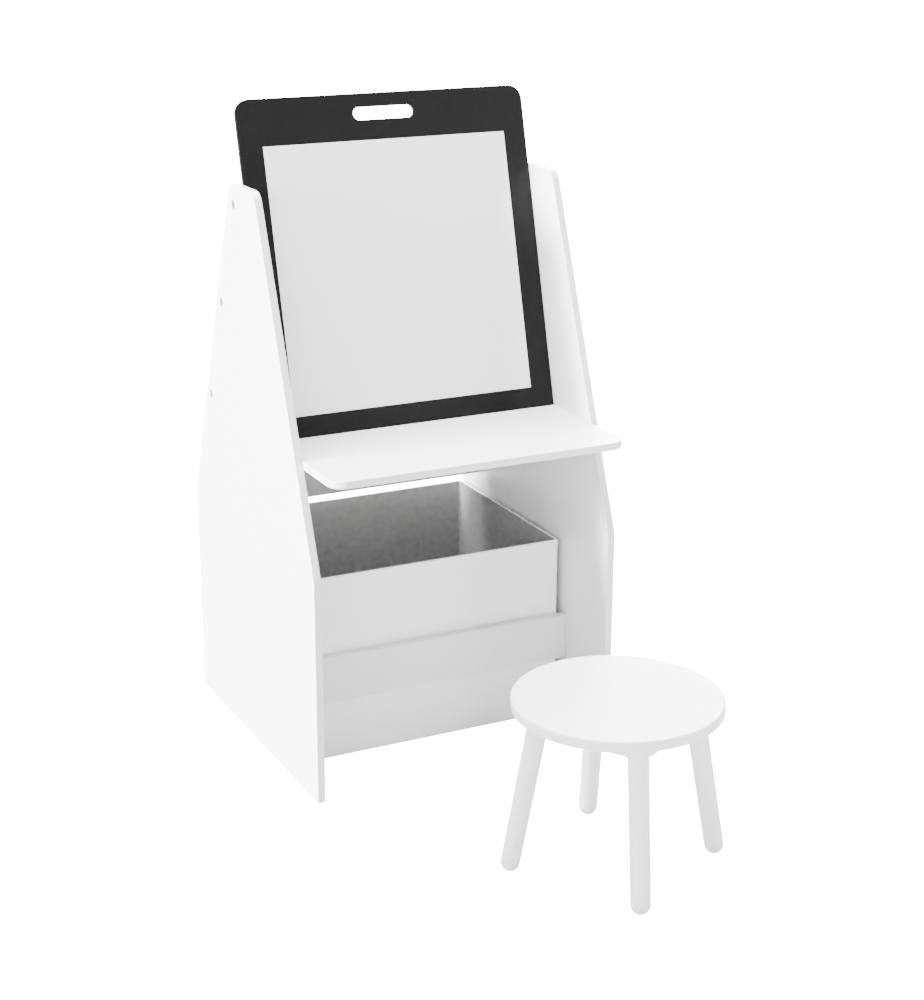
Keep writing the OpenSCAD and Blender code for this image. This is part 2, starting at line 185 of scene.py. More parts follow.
class SharedEffects:
    """Shader node groups that more than one finish uses, each built once."""

    def __init__(self) -> None:
        """Starts with no group built."""
        self._built: dict[str, NodeTree] = {}

    def place(self, graph: Graph, effect: str, inputs: dict[str, Any]) -> Node:
        """Puts an effect into a material, and builds its group first if it has to.

        Args:
            graph: The material's graph.
            effect: The name of the method that fills the group.
            inputs: The group's own values in this material.

        Returns:
            The group's node.
        """
        if effect not in self._built:
            self._built[effect] = getattr(self, "_" + effect)(effect)
        node = graph.add("ShaderNodeGroup")
        node.node_tree = self._built[effect]
        for name, value in inputs.items():
            graph.feed(node.inputs[name], value)
        return node

    @staticmethod
    def _sockets(name: str, inputs: dict[str, Any], outputs: dict[str, str]) -> tuple[Graph, Any, Any]:
        """Makes a group with its named inputs and outputs.

        Args:
            name: The group's name.
            inputs: Each input's name and its usual value; a tuple makes a colour or a vector.
            outputs: Each output's name and its kind, Float or Color.

        Returns:
            The group's graph, its input node's outputs and its output node's inputs.
        """
        tree = bpy.data.node_groups.new(name, "ShaderNodeTree")
        for label, value in inputs.items():
            kind = "NodeSocketFloat"
            if isinstance(value, tuple):
                kind = "NodeSocketVector" if len(value) == 3 else "NodeSocketColor"
            socket = tree.interface.new_socket(label, in_out="INPUT", socket_type=kind)
            socket.default_value = value
        for label, kind in outputs.items():
            tree.interface.new_socket(label, in_out="OUTPUT", socket_type="NodeSocket" + kind)
        graph = Graph(tree)
        source = graph.add("NodeGroupInput").outputs
        target = graph.add("NodeGroupOutput").inputs
        return graph, source, target

    def _edge_wear(self, name: str) -> NodeTree:
        """Fills a group that masks rubbed rounded edges, broken up by noise."""
        graph, given, result = self._sockets(
            name,
            {"Position": (0.0, 0.0, 0.0), "Rim": 0.0, "Amount": 0.3, "Breakup Scale": 60.0},
            {"Mask": "Float"},
        )
        crest = graph.spread(given["Rim"], 0.35, 0.95)
        breakup = graph.spread(graph.noise(given["Position"], given["Breakup Scale"], 4.0), 0.42, 0.6)
        share = graph.math("MULTIPLY", crest, breakup)
        graph.feed(result["Mask"], graph.math("MULTIPLY", share, given["Amount"]))
        return graph.tree

    def _settled_dust(self, name: str) -> NodeTree:
        """Fills a group that masks a light film of dust on faces that look up."""
        graph, given, result = self._sockets(
            name,
            {"Position": (0.0, 0.0, 0.0), "Amount": 0.1, "Scale": 9.0},
            {"Mask": "Float"},
        )
        normal = graph.add("ShaderNodeNewGeometry").outputs["Normal"]
        upward = graph.add("ShaderNodeSeparateXYZ", {"Vector": normal}).outputs["Z"]
        facing = graph.spread(upward, 0.55, 0.95)
        clouds = graph.spread(graph.noise(given["Position"], given["Scale"], 6.0, 0.62), 0.4, 0.68)
        share = graph.math("MULTIPLY", facing, clouds)
        graph.feed(result["Mask"], graph.math("MULTIPLY", share, given["Amount"]))
        return graph.tree

    def _sprayed_skin(self, name: str) -> NodeTree:
        """Fills a group for sprayed lacquer: orange peel, a few nibs, and uneven gloss and tone."""
        graph, given, result = self._sockets(
            name,
            {
                "Position": (0.0, 0.0, 0.0),
                "Colour": (0.8, 0.8, 0.8, 1.0),
                "Worn Colour": (0.7, 0.7, 0.7, 1.0),
                "Wear": 0.0,
                "Tone": 0.02,
                "Gloss": 0.35,
                "Gloss Spread": 0.06,
                "Peel Scale": 420.0,
            },
            {"Colour": "Color", "Roughness": "Float", "Height": "Float"},
        )
        here = given["Position"]
        broad = graph.math("SUBTRACT", graph.noise(here, 5.0, 3.0), 0.5)
        value = graph.math("ADD", graph.math("MULTIPLY", broad, given["Tone"]), 1.0)
        tinted = graph.add("ShaderNodeHueSaturation", {"Value": value, "Color": given["Colour"]}).outputs[0]
        graph.feed(result["Colour"], graph.mix(given["Wear"], tinted, given["Worn Colour"]))
        uneven = graph.math("SUBTRACT", graph.noise(here, 14.0, 5.0), 0.5)
        gloss = graph.math("ADD", graph.math("MULTIPLY", uneven, given["Gloss Spread"]), given["Gloss"])
        graph.feed(result["Roughness"], graph.math("ADD", gloss, graph.math("MULTIPLY", given["Wear"], 0.2)))
        peel = graph.math("MULTIPLY", graph.noise(here, given["Peel Scale"], 2.0, 0.45), 0.6)
        swell = graph.math("MULTIPLY", graph.noise(here, 70.0, 2.0), 0.9)
        nibs = graph.math("MULTIPLY", graph.spread(graph.noise(here, 900.0, 1.0), 0.72, 0.8), 0.25)
        graph.feed(result["Height"], graph.math("ADD", graph.math("ADD", peel, swell), nibs))
        return graph.tree

    def _bonded_cloth(self, name: str) -> NodeTree:
        """Fills a group for spun-bonded cloth: rows of pressed points between fine random fibres."""
        graph, given, result = self._sockets(
            name,
            {"Along": (0.0, 0.0, 0.0), "Points per Metre": 620.0, "Fibre": 0.5},
            {"Shade": "Float", "Height": "Float"},
        )
        along = given["Along"]
        cells = graph.add(
            "ShaderNodeTexVoronoi",
            {
                "Vector": graph.turned(along, (0.0, 0.0, math.radians(45))),
                "Scale": given["Points per Metre"],
                "Randomness": 0.0,
            },
            voronoi_dimensions="2D",
        )
        pressed = graph.spread(cells.outputs["Distance"], 0.2, 0.42)
        fibre = graph.math("MULTIPLY", graph.noise(along, 1500.0, 3.0, 0.7), given["Fibre"])
        felt = graph.noise(along, 90.0, 4.0, 0.6)
        graph.feed(result["Height"], graph.math("ADD", graph.math("ADD", pressed, fibre), felt))
        worn, matted = graph.math("MULTIPLY", pressed, 0.45), graph.math("MULTIPLY", felt, 0.9)
        graph.feed(result["Shade"], graph.math("ADD", worn, matted))
        return graph.tree

    def _long_grain(self, name: str) -> NodeTree:
        """Fills a group for timber: fine streaks along one axis and a slower figure."""
        graph, given, result = self._sockets(
            name,
            {"Position": (0.0, 0.0, 0.0), "Stretch": (4.0, 160.0, 160.0), "Figure": 0.5},
            {"Shade": "Float", "Height": "Float"},
        )
        stretch = {0: given["Position"], 1: given["Stretch"]}
        along = graph.add("ShaderNodeVectorMath", stretch, operation="MULTIPLY").outputs[0]
        streaks = graph.noise(along, 1.0, 6.0, 0.65)
        figure = graph.math("MULTIPLY", graph.noise(along, 0.15, 3.0), given["Figure"])
        graph.feed(result["Shade"], graph.math("ADD", figure, graph.math("MULTIPLY", streaks, 0.6)))
        graph.feed(result["Height"], streaks)
        return graph.tree


EFFECTS = SharedEffects()


# Finishes


@dataclass(frozen=True)
class Finish:
    """A procedural material; each kind of finish fills in its own surface."""

    slot: Slot
    colour: tuple[float, float, float]
    bump: float = 0.06
    relief: float = 0.1 * MM

    def make(self) -> Material:
        """Builds the material.

        Returns:
            The material, named for its slot.
        """
        material = bpy.data.materials.new(self.slot.value)
        material.use_nodes = True
        material.diffuse_color = self.rgba(self.colour)
        graph = Graph(material.node_tree)
        shader = graph.add("ShaderNodeBsdfPrincipled")
        graph.add("ShaderNodeOutputMaterial", {"Surface": shader.outputs[0]})
        self.surface(graph, shader)
        return material

    def surface(self, graph: Graph, shader: Node) -> None:
        """Feeds the shader of the material's graph."""
        raise NotImplementedError

    @staticmethod
    def rgba(colour: Sequence[float], factor: float = 1.0) -> tuple[float, float, float, float]:
        """Turns a colour into four numbers, made lighter or darker by a factor."""
        red, green, blue = (min(1.0, part * factor) for part in colour)
        return (red, green, blue, 1.0)

    @staticmethod
    def position(graph: Graph) -> NodeSocket:
        """Returns the Object coordinates, which are metres in the shared frame."""
        return graph.add("ShaderNodeTexCoord").outputs["Object"]

    def blend(self, graph: Graph, share: Any, first: Triple, second: Triple) -> NodeSocket:
        """Blends two plain colours by the second one's share."""
        return graph.mix(share, self.rgba(first), self.rgba(second))

    def coat(self, graph: Graph, shader: Node, colour: Any, rough: Any, height: NodeSocket) -> None:
        """Feeds the shader's colour and roughness, and raises its fine relief.

        Args:
            graph: The material's graph.
            shader: Its Principled BSDF.
            colour: Where the colour comes from.
            rough: Where the roughness comes from.
            height: The relief, about 0 to 1.
        """
        graph.feed(shader.inputs["Base Color"], colour)
        graph.feed(shader.inputs["Roughness"], rough)
        relief = {"Height": height, "Strength": self.bump, "Distance": self.relief}
        graph.feed(shader.inputs["Normal"], graph.add("ShaderNodeBump", relief).outputs["Normal"])


@dataclass(frozen=True)
class Lacquer(Finish):
    """Sprayed lacquer on fibreboard or wood, a little rubbed at its edges."""

    worn: Triple = (0.62, 0.6, 0.57)
    roughness: float = 0.36
    gloss_spread: float = 0.08
    specular: float = 0.5
    wear: float = 0.25
    tone: float = 0.025
    dust: float = 0.05
    dust_colour: Triple = (0.66, 0.64, 0.61)

    def surface(self, graph: Graph, shader: Node) -> None:
        """Feeds the shader with the sprayed skin, worn edges and settled dust."""
        here = self.position(graph)
        rim = graph.add("ShaderNodeAttribute", attribute_name=RIM).outputs["Fac"]
        wear = EFFECTS.place(graph, "edge_wear", {"Position": here, "Rim": rim, "Amount": self.wear})
        skin = EFFECTS.place(
            graph,
            "sprayed_skin",
            {
                "Position": here,
                "Colour": self.rgba(self.colour),
                "Worn Colour": self.rgba(self.worn),
                "Wear": wear.outputs["Mask"],
                "Tone": self.tone,
                "Gloss": self.roughness,
                "Gloss Spread": self.gloss_spread,
            },
        )
        dust = EFFECTS.place(graph, "settled_dust", {"Position": here, "Amount": self.dust})
        film = dust.outputs["Mask"]
        shader.inputs["Specular IOR Level"].default_value = self.specular
        colour = graph.mix(film, skin.outputs["Colour"], self.rgba(self.dust_colour))
        rough = graph.math("ADD", skin.outputs["Roughness"], graph.math("MULTIPLY", film, 0.5))
        self.coat(graph, shader, colour, rough, skin.outputs["Height"])


@dataclass(frozen=True)
class WipeBoard(Finish):
    """Glossy dry-wipe face with faint traces of wiping."""

    roughness: float = 0.24
    haze: float = 0.12
    haze_roughness: float = 0.25
    haze_colour: Triple = (0.74, 0.75, 0.77)
    sweep_turn: Triple = (0.0, 0.5, 0.0)
    sweep_scale: Triple = (3.0, 3.0, 22.0)

    def surface(self, graph: Graph, shader: Node) -> None:
        """Feeds the shader with a smooth face, wiped in long sweeps."""
        here = self.position(graph)
        sweeps = graph.noise(graph.turned(here, self.sweep_turn, self.sweep_scale), 1.0, 5.0, 0.6)
        share = graph.math("MULTIPLY", sweeps, graph.noise(here, 6.0, 3.0))
        haze = graph.spread(share, 0.2, 0.42, 0.0, self.haze)
        rough = graph.math("ADD", graph.math("MULTIPLY", haze, self.haze_roughness), self.roughness)
        colour = self.blend(graph, haze, self.colour, self.haze_colour)
        self.coat(graph, shader, colour, rough, graph.noise(here, 260.0, 2.0))


@dataclass(frozen=True)
class ChalkBoard(Finish):
    """Matt writing face with chalk dust wiped into its grain."""

    chalk: Triple = (0.3, 0.31, 0.31)
    dusting: float = 0.045
    smear_turn: Triple = (0.0, -0.7, 0.0)
    smear_scale: Triple = (2.5, 2.5, 16.0)

    def surface(self, graph: Graph, shader: Node) -> None:
        """Feeds the shader with a fine tooth and cloudy chalk smears."""
        here = self.position(graph)
        smears = graph.noise(graph.turned(here, self.smear_turn, self.smear_scale), 1.0, 7.0, 0.66)
        share = graph.math("MULTIPLY", smears, graph.noise(here, 7.0, 4.0))
        dust = graph.spread(share, 0.2, 0.4, 0.02, self.dusting)
        tooth = graph.noise(here, 1800.0, 2.0, 0.6)
        speckled = graph.math("MULTIPLY", dust, graph.spread(tooth, 0.35, 0.65, 0.6, 1.3))
        colour = self.blend(graph, speckled, self.colour, self.chalk)
        self.coat(graph, shader, colour, graph.spread(tooth, 0.3, 0.7, 0.72, 0.9), tooth)


@dataclass(frozen=True)
class BondedCloth(Finish):
    """Spun-bonded cloth with rows of small pressed points; it reads the piece's own UV map in metres."""

    deep: Triple = (0.7, 0.7, 0.69)
    fibre: float = 0.5
    roughness: float = 0.86

    def surface(self, graph: Graph, shader: Node) -> None:
        """Feeds the shader with pressed points, fibres and a soft sheen."""
        along = graph.add("ShaderNodeUVMap", uv_map="metres").outputs[0]
        cloth = EFFECTS.place(graph, "bonded_cloth", {"Along": along, "Fibre": self.fibre})
        share = graph.spread(cloth.outputs["Shade"], 0.3, 0.95)
        rough = graph.spread(share, 0.0, 1.0, self.roughness - 0.12, self.roughness)
        shader.inputs["Sheen Weight"].default_value = 0.15
        shader.inputs["Sheen Roughness"].default_value = 0.5
        colour = self.blend(graph, share, self.deep, self.colour)
        self.coat(graph, shader, colour, rough, cloth.outputs["Height"])


@dataclass(frozen=True)
class Timber(Finish):
    """Bare wood with its grain along the X axis."""

    dark: Triple = (0.5, 0.33, 0.18)

    def surface(self, graph: Graph, shader: Node) -> None:
        """Feeds the shader with long grain."""
        grain = EFFECTS.place(graph, "long_grain", {"Position": self.position(graph)})
        share = graph.spread(grain.outputs["Shade"], 0.35, 0.75)
        colour = self.blend(graph, share, self.dark, self.colour)
        self.coat(graph, shader, colour, graph.spread(share, 0.0, 1.0, 0.55, 0.7), grain.outputs["Height"])


@dataclass(frozen=True)
class PressedCard(Finish):
    """Grey card with flecks of pulp."""

    fleck: Triple = (0.3, 0.27, 0.24)

    def surface(self, graph: Graph, shader: Node) -> None:
        """Feeds the shader with flecks and a fibrous tooth."""
        pulp = graph.noise(self.position(graph), 380.0, 6.0, 0.7)
        colour = self.blend(graph, graph.spread(pulp, 0.42, 0.6, 0.35, 0.0), self.colour, self.fleck)
        self.coat(graph, shader, colour, graph.spread(pulp, 0.3, 0.7, 0.85, 0.95), pulp)


@dataclass(frozen=True)
class Metal(Finish):
    """Plated or turned metal with a fine grain in its relief and dull patches."""

    roughness: float = 0.3
    dull: float = 0.6

    def surface(self, graph: Graph, shader: Node) -> None:
        """Feeds the shader with uneven plating."""
        here = self.position(graph)
        patches = graph.noise(here, 120.0, 4.0, 0.6)
        share = graph.spread(patches, 0.35, 0.65)
        colour = graph.mix(share, self.rgba(self.colour, self.dull + 0.25), self.rgba(self.colour))
        rough = graph.spread(patches, 0.3, 0.7, self.roughness, self.roughness + 0.15)
        shader.inputs["Metallic"].default_value = 1.0
        self.coat(graph, shader, colour, rough, graph.noise(here, 2400.0, 2.0))


FINISHES: tuple[Finish, ...] = (
    Lacquer(Slot.WHITE_LACQUER, (0.72, 0.72, 0.717), roughness=0.31),
    Lacquer(Slot.PAINTED_ROD, (0.72, 0.72, 0.717), roughness=0.38, wear=0.35),
    Lacquer(Slot.STOOL_LACQUER, (0.77, 0.77, 0.767), roughness=0.31, wear=0.3),
    Lacquer(
        Slot.BLACK_LACQUER,
        (0.0042, 0.0042, 0.0044),
        roughness=0.52,
        specular=0.12,
        worn=(0.05, 0.048, 0.045),
        wear=0.05,
        tone=0.05,
        gloss_spread=0.05,
        dust=0.0,
        dust_colour=(0.2, 0.2, 0.2),
    ),
    WipeBoard(Slot.WHITEBOARD_FACE, (0.74, 0.745, 0.745), bump=0.03, relief=0.05 * MM),
    ChalkBoard(Slot.CHALKBOARD_FACE, (0.008, 0.009, 0.009), bump=0.25, relief=0.06 * MM),
    BondedCloth(Slot.BIN_FABRIC, (0.96, 0.96, 0.955), deep=(0.87, 0.87, 0.865), bump=0.35, relief=0.18 * MM),
    # The lining's dark grey colour is painted shade: it darkens the bin's inside to stand in for the shade
    # that falls there.
    BondedCloth(Slot.BIN_LINING, (0.25, 0.25, 0.252), deep=(0.17, 0.17, 0.172), bump=0.35, relief=0.18 * MM),
    PressedCard(Slot.GREY_CARD, (0.5, 0.47, 0.43), bump=0.3, relief=0.1 * MM),
    Timber(Slot.BARE_BEECH, (0.72, 0.55, 0.36), bump=0.25, relief=0.1 * MM),
    Metal(Slot.ZINC_STEEL, (0.48, 0.49, 0.5), bump=0.08, relief=0.02 * MM),
    Metal(Slot.ZINC_CAST, (0.62, 0.63, 0.64), roughness=0.42, bump=0.3, relief=0.03 * MM),
    Metal(Slot.BRASS, (0.78, 0.6, 0.28), roughness=0.28, bump=0.08, relief=0.02 * MM),
)


class Palette:
    """Every finish, built once and handed out by slot."""

    def __init__(self) -> None:
        """Builds the materials."""
        self._materials = {finish.slot: finish.make() for finish in FINISHES}

    def dress(self, piece: Object, slot: Slot) -> None:
        """Gives a new piece or a CAD node one finish all over."""
        piece.data.materials.clear()
        piece.data.materials.append(self._materials[slot])


# Mesh work


def start_mesh(source: bpy.types.Mesh | None = None) -> BMesh:
    """Starts a mesh whose vertices can be marked as part of a rounded rim.

    Args:
        source: A mesh to copy, or None for an empty one.

    Returns:
        The mesh.
    """
    mesh = bmesh.new()
    if source:
        mesh.from_mesh(source)
    mesh.verts.layers.float.new(RIM)
    return mesh


def mark_sharp(mesh: BMesh, limit: float = 35.0) -> None:
    """Smooths every face, and keeps each edge sharper than the limit as a crease in the shading.

    Args:
        mesh: The mesh to shade.
        limit: The largest angle that stays smooth, in degrees.
    """
    for face in mesh.faces:
        face.smooth = True
    for edge in mesh.edges:
        edge.smooth = len(edge.link_faces) == 2 and edge.calc_face_angle(math.pi) < math.radians(limit)


def lay_metre_uvs(mesh: BMesh) -> None:
    """Lays each face flat on the plane that it faces most, in metres, in a UV map named metres.

    Args:
        mesh: The mesh to map.
    """
    layer = mesh.loops.layers.uv.new("metres")
    for face in mesh.faces:
        size = [abs(part) for part in face.normal]
        drop = size.index(max(size))
        across, up = [axis for axis in range(3) if axis != drop]
        for loop in face.loops:
            loop[layer].uv = (loop.vert.co[across], loop.vert.co[up])


class Workshop:
    """Turns bmeshes into finished pieces that ride on the CAD bodies."""

    def __init__(self, frame: dict[str, Any], palette: Palette) -> None:
        """Keeps the frame and the finishes.

        Args:
            palette: The finishes.
        """
        self.nodes: dict[str, Object] = frame["nodes"]
        self.palette = palette
        self.count = 0

    def finish(
        self,
        name: str,
        mesh: BMesh,
        body: Body,
        slot: Slot,
        replaces: Iterable[str] = (),
        crease: float = 35.0,
    ) -> Object:
        """Makes a piece from a mesh, dresses it and puts it on its body.

        Args:
            name: The piece's name.
            mesh: Its geometry in the shared frame; it is freed here.
            body: The body that it rides on.
            slot: Its finish.
            replaces: The CAD nodes that it stands for.
            crease: The largest angle that stays smooth, in degrees.

        Returns:
            The new piece.
        """
        mark_sharp(mesh, crease)
        lay_metre_uvs(mesh)
        data = bpy.data.meshes.new(name)
        mesh.to_mesh(data)
        mesh.free()
        piece = bpy.data.objects.new(name, data)
        bpy.context.scene.collection.objects.link(piece)
        even = piece.modifiers.new("Even normals", "WEIGHTED_NORMAL")
        even.keep_sharp = True
        self.palette.dress(piece, slot)
        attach(piece, body.value)
        for node in replaces:
            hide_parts(node)
        self.count += 1
        log.info("%s: %d faces on %s", name, len(data.polygons), body.value)
        return piece

    def dress_node(self, node: str, slot: Slot) -> None:
        """Gives a CAD node that keeps its own mesh its finish."""
        self.palette.dress(self.nodes[node], slot)
        log.info("%s keeps its CAD mesh", node)

    def copy_of(self, node: str) -> BMesh:
        """Copies a CAD node's mesh, with its loose triangles joined into whole faces.

        Args:
            node: The node's name.

        Returns:
            The copy.
        """
        mesh = start_mesh(self.nodes[node].data)
        bmesh.ops.remove_doubles(mesh, verts=mesh.verts, dist=0.01 * MM)
        bmesh.ops.dissolve_limit(mesh, angle_limit=math.radians(0.5), verts=mesh.verts, edges=mesh.edges)
        return mesh

    def eased(self, node: str, radius: float, segments: int = 3, shortest: float = 2.4 * MM) -> BMesh:
        """Copies a CAD node and eases its long sharp edges, but leaves the rims of its small bores.

        Args:
            node: The node's name.
            radius: Radius of the eased edges.
            segments: Number of facets across an eased edge.
            shortest: Shortest edge that is eased.

        Returns:
            The eased copy.
        """
        mesh = self.copy_of(node)
        sharp = [edge for edge in sharp_edges(mesh, EASED_ANGLE) if edge.calc_length() > shortest]
        ease_edges(mesh, sharp, radius, segments)
        return mesh


def sharp_edges(mesh: BMesh, angle: float) -> list[BMEdge]:
    """Lists the edges whose two faces turn by more than an angle in degrees."""
    return [edge for edge in mesh.edges if edge.calc_face_angle(0.0) > math.radians(angle)]


def ease_edges(mesh: BMesh, edges: Sequence[BMEdge], radius: float, segments: int) -> None:
    """Rounds edges, and marks the crest of each as a rim.

    Args:
        mesh: The mesh that they belong to.
        edges: The edges.
        radius: Radius of the rounding.
        segments: Number of facets across it.
    """
    made = bmesh.ops.bevel(
        mesh,
        geom=list(edges),
        offset=radius,
        offset_type="OFFSET",
        segments=segments,
        profile=0.5,
        affect="EDGES",
        clamp_overlap=True,
        material=-1,
    )
    layer = mesh.verts.layers.float[RIM]
    rounded = set()
    for face in made["faces"]:
        if face.calc_area() < radius * max(edge.calc_length() for edge in face.edges):
            rounded.add(face)
    for vert in {vert for face in rounded for vert in face.verts}:
        vert[layer] = float(all(face in rounded for face in vert.link_faces))


def extruded(mesh: BMesh, edges: Sequence[BMEdge]) -> tuple[list[BMVert], list[BMEdge]]:
    """Extrudes edges.

    Args:
        mesh: The mesh that they belong to.
        edges: The edges.

    Returns:
        The new vertices, and the new edges between them.
    """
    grown = bmesh.ops.extrude_edge_only(mesh, edges=list(edges))["geom"]
    verts = [part for part in grown if isinstance(part, BMVert)]
    rims = [part for part in grown if isinstance(part, BMEdge)]
    return verts, [edge for edge in rims if all(vert in verts for vert in edge.verts)]


def turned(profile: Sequence[tuple[float, float]], steps: int) -> BMesh:
    """Turns a profile about the Z axis into a closed solid.

    Args:
        profile: Points as (radius, height); the first and last lie on the axis.
        steps: Number of steps round.

    Returns:
        The turned mesh.
    """
    mesh = start_mesh()
    points = [mesh.verts.new((radius, 0.0, height)) for radius, height in profile]
    edges = [mesh.edges.new(pair) for pair in zip(points, points[1:])]
    bmesh.ops.spin(
        mesh,
        geom=points + edges,
        cent=(0.0, 0.0, 0.0),
        axis=(0.0, 0.0, 1.0),
        angle=math.tau,
        steps=steps,
        use_merge=True,
    )
    bmesh.ops.remove_doubles(mesh, verts=mesh.verts, dist=0.005 * MM)
    bmesh.ops.recalc_face_normals(mesh, faces=mesh.faces)
    return mesh


def arc(radius: float, start: float, end: float, steps: int) -> list[tuple[float, float]]:
    """Lists points on an arc about the origin, both ends included; the angles are in degrees."""
    angles = [math.radians(start + (end - start) * step / steps) for step in range(steps + 1)]
    return [(radius * math.cos(angle), radius * math.sin(angle)) for angle in angles]


@dataclass(frozen=True)
class Ring:
    """One level of a lofted box: a rounded rectangle at a height."""

    inset: float
    height: float
    radius: float


@dataclass
class BoxLoft:
    """Lofts a shell through rounded rectangles that follow one upright box.

    Attributes:
        low: The box's lowest corner.
        high: Its highest corner.
        cuts: Number of cuts along each long side.
        corner_steps: Number of facets round each corner.
        mesh: The shell.
        rings: The edges of each ring.
    """

    low: Vector
    high: Vector
    cuts: int = 24
    corner_steps: int = 5
    mesh: BMesh = field(default_factory=bmesh.new)
    rings: list[list[BMEdge]] = field(default_factory=list)

    def add(self, ring: Ring) -> None:
        """Adds a ring and bridges it to the one before.

        Args:
            ring: The ring's inset from the box, its height and its corner radius.
        """
        size = self.high - self.low
        centre = (self.low + self.high) / 2
        place = Matrix.Translation((centre.x, centre.y, ring.height)) @ Matrix.Diagonal(
            (size.x - 2 * ring.inset, size.y - 2 * ring.inset, 1.0, 1.0)
        )
        made = bmesh.ops.create_grid(self.mesh, x_segments=1, y_segments=1, size=0.5, matrix=place)
        rounded = bmesh.ops.bevel(
            self.mesh,
            geom=made["verts"],
            offset=ring.radius,
            offset_type="OFFSET",
            segments=self.corner_steps,
            profile=0.5,
            affect="VERTICES",
            material=-1,
        )
        face = rounded["verts"][0].link_faces[0]
        edges = list(face.edges)
        bmesh.ops.delete(self.mesh, geom=[face], context="FACES_ONLY")
        sides = [edge for edge in edges if edge.calc_length() > 4 * ring.radius]
        cut = bmesh.ops.subdivide_edges(self.mesh, edges=sides, cuts=self.cuts)
        added = [part for part in (*cut["geom_inner"], *cut["geom_split"]) if isinstance(part, BMEdge)]
        self.rings.append([edge for edge in dict.fromkeys((*edges, *added)) if edge.is_valid])
        if len(self.rings) > 1:
            bmesh.ops.bridge_loops(self.mesh, edges=self.rings[-2] + self.rings[-1])

    def close(self, ring: int) -> None:
        """Fills the ring of that number with one face."""
        bmesh.ops.contextual_create(self.mesh, geom=self.rings[ring])

    def loft(self, rings: Iterable[Ring]) -> BMesh:
        """Adds rings in order.

        Args:
            rings: The rings.

        Returns:
            The mesh, still open at its first and last rings.
        """
        for ring in rings:
            self.add(ring)
        return self.mesh


# Sub-assemblies


